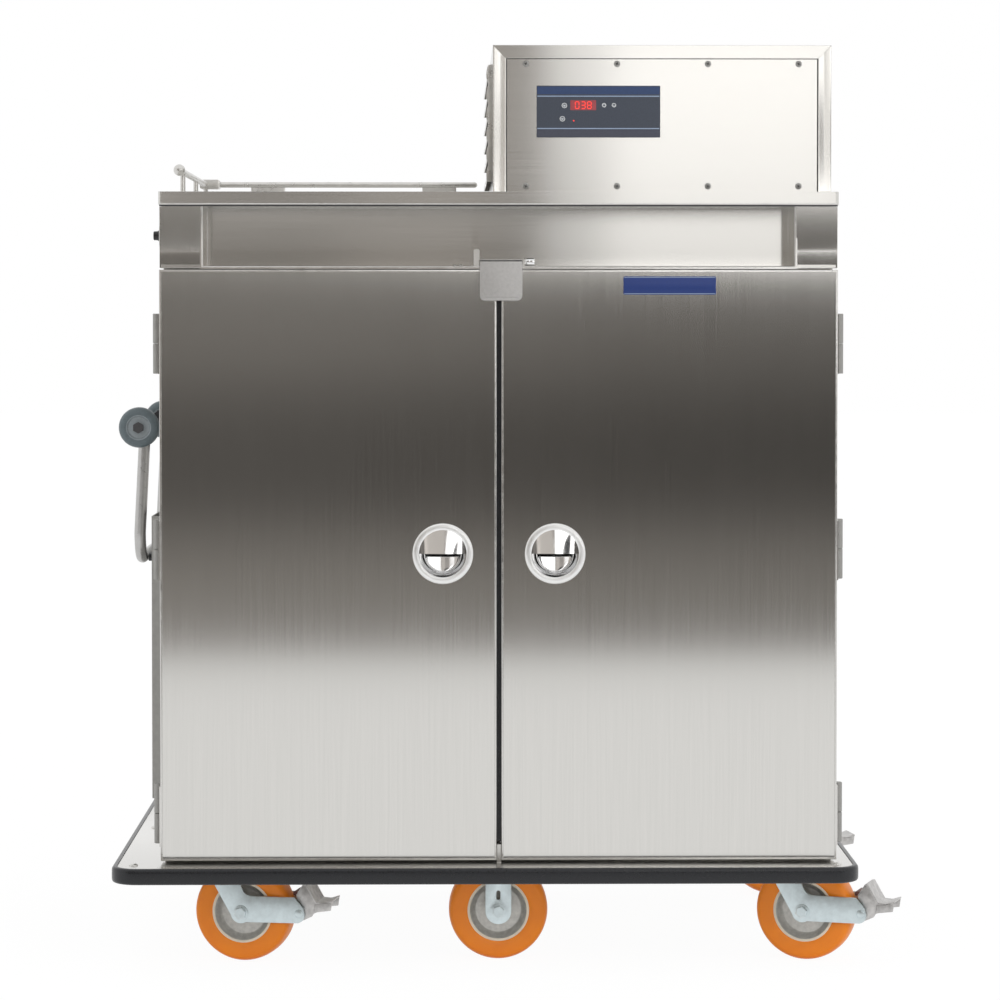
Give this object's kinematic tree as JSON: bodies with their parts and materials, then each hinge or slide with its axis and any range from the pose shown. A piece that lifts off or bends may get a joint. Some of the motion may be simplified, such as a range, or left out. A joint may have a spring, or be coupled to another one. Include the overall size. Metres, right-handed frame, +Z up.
{
  "type": "enclosed meal tray cart",
  "caption": "Insulated tray cabinet on a bumpered deck with braked swivel casters, hinged doors behind a flip-down latch, a fold-down push handle, a railed worktop and a chiller on top.",
  "frame": {"origin": "bottom centre of the whole cart's box, on the floor", "axes": "+Z up, +X to the right of a person who faces the doors, +Y from the doors to the back"},
  "size_m": [1.2132, 0.8306, 1.4],
  "materials": {
    "stainless": "brushed stainless sheet",
    "dark_sheet": "dark grey sheet",
    "chrome": "polished",
    "zinc_plate": "bright zinc plate, pale blue grey",
    "pedal_steel": "worn grey pressed steel",
    "black_rubber": "matt black",
    "grey_rubber": "blue-grey, satin",
    "wheel_tread": "orange polyurethane tread",
    "overlay_film": "dark blue-grey film",
    "key_film": "pale printed key",
    "display_red": "dark red window",
    "knob_black": "black"
  },
  "bodies": {
    "cart": {"base_deck": "stainless", "bumper": "black_rubber", "unit_housing": "stainless", "left_bay_outer_rack": "stainless", "left_bay_inner_rack": "stainless", "right_bay_inner_rack": "stainless", "right_bay_outer_rack": "stainless", "guard_rail": "stainless", "front_middle_fork": "zinc_plate", "rear_middle_fork": "zinc_plate", "latch_bracket": "stainless", "control_overlay": "overlay_film", "dial_bezel": "stainless", "handle_bracket_front": "dark_sheet", "handle_bracket_rear": "dark_sheet", "duct_cover": "stainless", "left_hinge_upper": "stainless", "left_hinge_middle": "stainless", "left_hinge_lower": "stainless", "right_hinge_upper": "stainless", "right_hinge_middle": "stainless", "right_hinge_lower": "stainless", "worktop": "stainless", "upper_housing": "stainless", "left_wall": "stainless", "right_wall": "stainless", "back_wall": "stainless", "centre_divider": "stainless", "unit_front_panel": "stainless", "display_window": "display_red"},
    "left_door": {"left_door": "stainless", "left_door_gasket": "black_rubber", "left_door_pull": "chrome"},
    "right_door": {"right_door": "stainless", "right_door_gasket": "black_rubber", "right_door_pull": "chrome"},
    "latch": {"latch_plate": "stainless"},
    "handle": {"push_handle": "stainless"},
    "roller_front": {"roller_bumper_front": "grey_rubber"},
    "roller_rear": {"roller_bumper_rear": "grey_rubber"},
    "dial": {"dial_knob": "knob_black"},
    "raise_key": {"raise_key": "key_film"},
    "lower_key": {"lower_key": "key_film"},
    "mode_key": {"mode_key": "key_film"},
    "power_key": {"power_key": "key_film"},
    "front_left_swivel": {"front_left_fork": "zinc_plate"},
    "front_left_wheel": {"front_left_wheel": "wheel_tread"},
    "front_left_brake": {"front_left_pedal": "pedal_steel"},
    "front_right_swivel": {"front_right_fork": "zinc_plate"},
    "front_right_wheel": {"front_right_wheel": "wheel_tread"},
    "front_right_brake": {"front_right_pedal": "pedal_steel"},
    "rear_left_swivel": {"rear_left_fork": "zinc_plate"},
    "rear_left_wheel": {"rear_left_wheel": "wheel_tread"},
    "rear_left_brake": {"rear_left_pedal": "pedal_steel"},
    "rear_right_swivel": {"rear_right_fork": "zinc_plate"},
    "rear_right_wheel": {"rear_right_wheel": "wheel_tread"},
    "rear_right_brake": {"rear_right_pedal": "pedal_steel"},
    "front_middle_wheel": {"front_middle_wheel": "wheel_tread"},
    "rear_middle_wheel": {"rear_middle_wheel": "wheel_tread"}
  },
  "joints": [
    {"name": "left_door_swing", "type": "hinge", "parent": "cart", "child": "left_door", "pos_m": [-0.53544, -0.315, 0.636], "axis": [0, 0, -1], "range_deg": [0, 180]},
    {"name": "right_door_swing", "type": "hinge", "parent": "cart", "child": "right_door", "pos_m": [0.50156, -0.315, 0.636], "axis": [0, 0, 1], "range_deg": [0, 180]},
    {"name": "latch_flip", "type": "hinge", "parent": "cart", "child": "latch", "pos_m": [-0.01394, -0.347, 1.0718], "axis": [-1, 0, 0], "range_deg": [0, 170]},
    {"name": "handle_swing", "type": "hinge", "parent": "cart", "child": "handle", "pos_m": [-0.57464, 0.025, 0.818], "axis": [0, 1, 0], "range_deg": [0, 100]},
    {"name": "roller_front_spin", "type": "hinge", "parent": "cart", "child": "roller_front", "pos_m": [-0.57464, -0.1955, 0.818], "axis": [0, 1, 0], "continuous": true},
    {"name": "roller_rear_spin", "type": "hinge", "parent": "cart", "child": "roller_rear", "pos_m": [-0.57464, 0.2455, 0.818], "axis": [0, 1, 0], "continuous": true},
    {"name": "dial_turn", "type": "hinge", "parent": "cart", "child": "dial", "pos_m": [-0.53224, -0.309, 1.113], "axis": [-1, 0, 0], "range_deg": [0, 270]},
    {"name": "raise_key_press", "type": "slide", "parent": "cart", "child": "raise_key", "axis": [0, 1, 0], "range_m": [0, 0.0005], "stiffness_N_per_m": 500, "springref_m": -0.0005},
    {"name": "lower_key_press", "type": "slide", "parent": "cart", "child": "lower_key", "axis": [0, 1, 0], "range_m": [0, 0.0005], "stiffness_N_per_m": 500, "springref_m": -0.0005},
    {"name": "mode_key_press", "type": "slide", "parent": "cart", "child": "mode_key", "axis": [0, 1, 0], "range_m": [0, 0.0005], "stiffness_N_per_m": 500, "springref_m": -0.0005},
    {"name": "power_key_press", "type": "slide", "parent": "cart", "child": "power_key", "axis": [0, 1, 0], "range_m": [0, 0.0005], "stiffness_N_per_m": 500, "springref_m": -0.0005},
    {"name": "front_left_swivel_turn", "type": "hinge", "parent": "cart", "child": "front_left_swivel", "pos_m": [-0.44494, -0.257, 0.167], "axis": [0, 0, 1], "continuous": true},
    {"name": "front_left_wheel_spin", "type": "hinge", "parent": "front_left_swivel", "child": "front_left_wheel", "pos_m": [-0.40581, -0.26532, 0.0762], "axis": [0.2079, 0.9781, 0], "continuous": true},
    {"name": "front_left_brake_tilt", "type": "hinge", "parent": "front_left_swivel", "child": "front_left_brake", "pos_m": [-0.31582, -0.28444, 0.0782], "axis": [0.2079, 0.9781, 0], "range_deg": [0, 12]},
    {"name": "front_right_swivel_turn", "type": "hinge", "parent": "cart", "child": "front_right_swivel", "pos_m": [0.42206, -0.257, 0.167], "axis": [0, 0, 1], "continuous": true},
    {"name": "front_right_wheel_spin", "type": "hinge", "parent": "front_right_swivel", "child": "front_right_wheel", "pos_m": [0.45965, -0.27068, 0.0762], "axis": [0.342, 0.9397, 0], "continuous": true},
    {"name": "front_right_brake_tilt", "type": "hinge", "parent": "front_right_swivel", "child": "front_right_brake", "pos_m": [0.5461, -0.30215, 0.0782], "axis": [0.342, 0.9397, 0], "range_deg": [0, 12]},
    {"name": "rear_left_swivel_turn", "type": "hinge", "parent": "cart", "child": "rear_left_swivel", "pos_m": [-0.44494, 0.313, 0.167], "axis": [0, 0, 1], "continuous": true},
    {"name": "rear_left_wheel_spin", "type": "hinge", "parent": "rear_left_swivel", "child": "rear_left_wheel", "pos_m": [-0.42494, 0.27836, 0.0762], "axis": [0.866, 0.5, 0], "continuous": true},
    {"name": "rear_left_brake_tilt", "type": "hinge", "parent": "rear_left_swivel", "child": "rear_left_brake", "pos_m": [-0.37894, 0.19869, 0.0782], "axis": [0.866, 0.5, 0], "range_deg": [0, 12]},
    {"name": "rear_right_swivel_turn", "type": "hinge", "parent": "cart", "child": "rear_right_swivel", "pos_m": [0.42206, 0.313, 0.167], "axis": [0, 0, 1], "continuous": true},
    {"name": "rear_right_wheel_spin", "type": "hinge", "parent": "rear_right_swivel", "child": "rear_right_wheel", "pos_m": [0.46146, 0.31995, 0.0762], "axis": [-0.1736, 0.9848, 0], "continuous": true},
    {"name": "rear_right_brake_tilt", "type": "hinge", "parent": "rear_right_swivel", "child": "rear_right_brake", "pos_m": [0.55206, 0.33592, 0.0782], "axis": [-0.1736, 0.9848, 0], "range_deg": [0, 12]},
    {"name": "front_middle_wheel_spin", "type": "hinge", "parent": "cart", "child": "front_middle_wheel", "pos_m": [-0.01694, -0.257, 0.0762], "axis": [0, 1, 0], "continuous": true},
    {"name": "rear_middle_wheel_spin", "type": "hinge", "parent": "cart", "child": "rear_middle_wheel", "pos_m": [-0.01694, 0.313, 0.0762], "axis": [0, 1, 0], "continuous": true}
  ]
}
